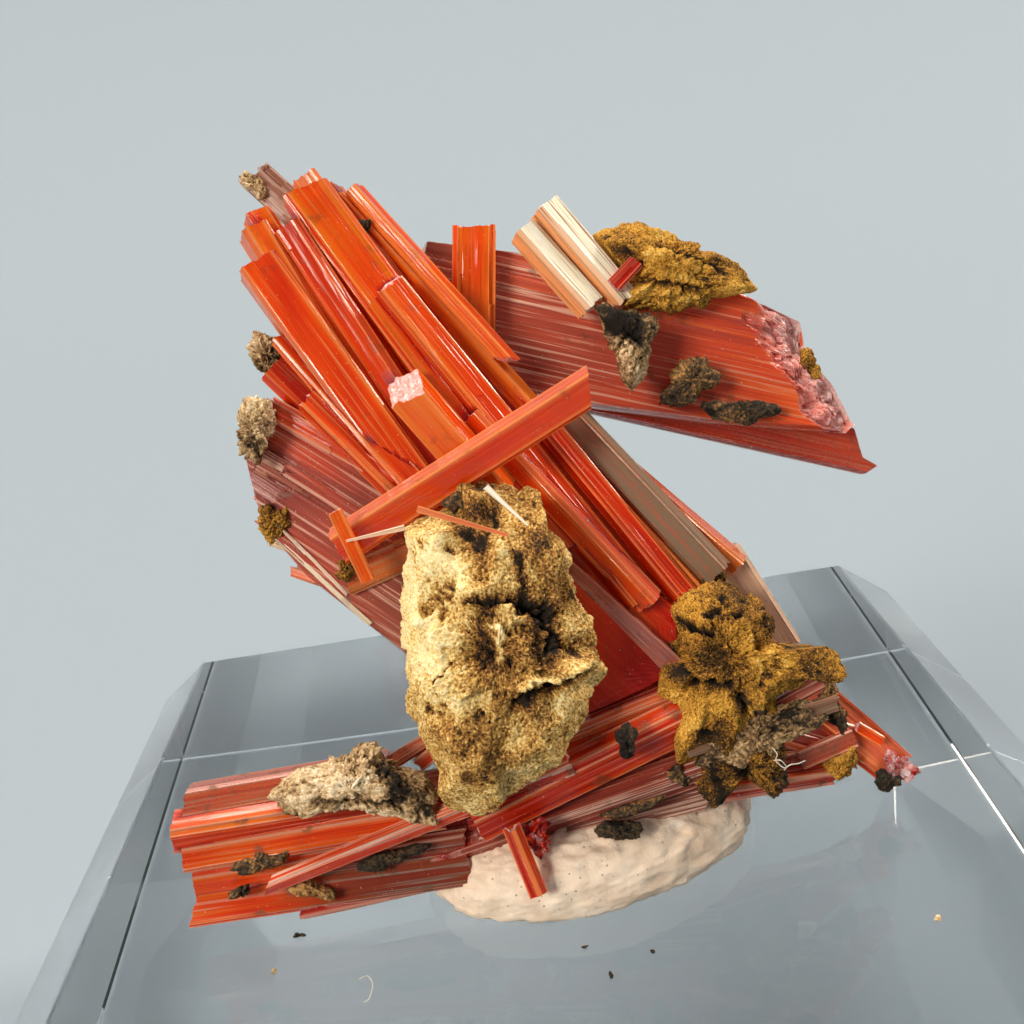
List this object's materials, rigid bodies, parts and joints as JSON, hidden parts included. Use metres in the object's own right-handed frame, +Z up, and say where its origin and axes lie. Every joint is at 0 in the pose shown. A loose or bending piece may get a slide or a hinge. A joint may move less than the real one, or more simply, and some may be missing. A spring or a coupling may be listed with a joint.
{
  "type": "crocoite mineral specimen on acrylic base",
  "caption": "Orange-red prismatic crocoite crystals with limonite matrix, fixed with putty to a clear bevelled acrylic display base.",
  "frame": {"origin": "middle of the acrylic base's underside", "axes": "+Z up, -Y to the specimen's front, +X to its right"},
  "size_m": [0.038, 0.038, 0.0405],
  "materials": {
    "acrylic": "clear polished acrylic",
    "putty": "matte beige mineral putty with dark specks",
    "crocoite": "translucent orange-red, vitreous, striated lengthwise",
    "crocoite_striated": "brown-pink, finely striated, satin sheen",
    "crocoite_dark": "clear deep red, vitreous",
    "crocoite_pale": "cream to pink striated faces",
    "limonite": "earthy ochre brown, porous",
    "limonite_pale": "cream to ochre, earthy",
    "limonite_dark": "brown-black, porous"
  },
  "bodies": {
    "root": {"acrylic_base": "acrylic", "mounting_putty": "putty", "lower_bundle": "crocoite", "main_spray": "crocoite", "crossing_bar": "crocoite", "upright_stub": "crocoite", "peach_crystal": "crocoite", "right_end_crystal": "crocoite", "putty_crystal": "crocoite", "tablet_crystal": "crocoite", "weathered_crystal": "crocoite_striated", "bar_foot_crystal": "crocoite_striated", "left_fan": "crocoite_striated", "upper_plate": "crocoite_striated", "brown_dusty_crystal": "crocoite_striated", "red_taper": "crocoite_dark", "rear_red_crystal": "crocoite_dark", "pale_crystal_long": "crocoite_pale", "pale_crystal_short": "crocoite_pale", "needle_1": "crocoite_pale", "needle_2": "crocoite_pale", "needle_3": "crocoite_pale", "limonite_nodule": "limonite_pale", "bundle_matrix": "limonite_pale", "grey_lump": "limonite_pale", "porous_lump": "limonite_pale", "right_matrix": "limonite", "plate_matrix": "limonite", "hanging_matrix": "limonite", "end_matrix": "limonite", "cavity_matrix": "limonite_dark", "black_crumb": "limonite_dark"}
  },
  "joints": []
}
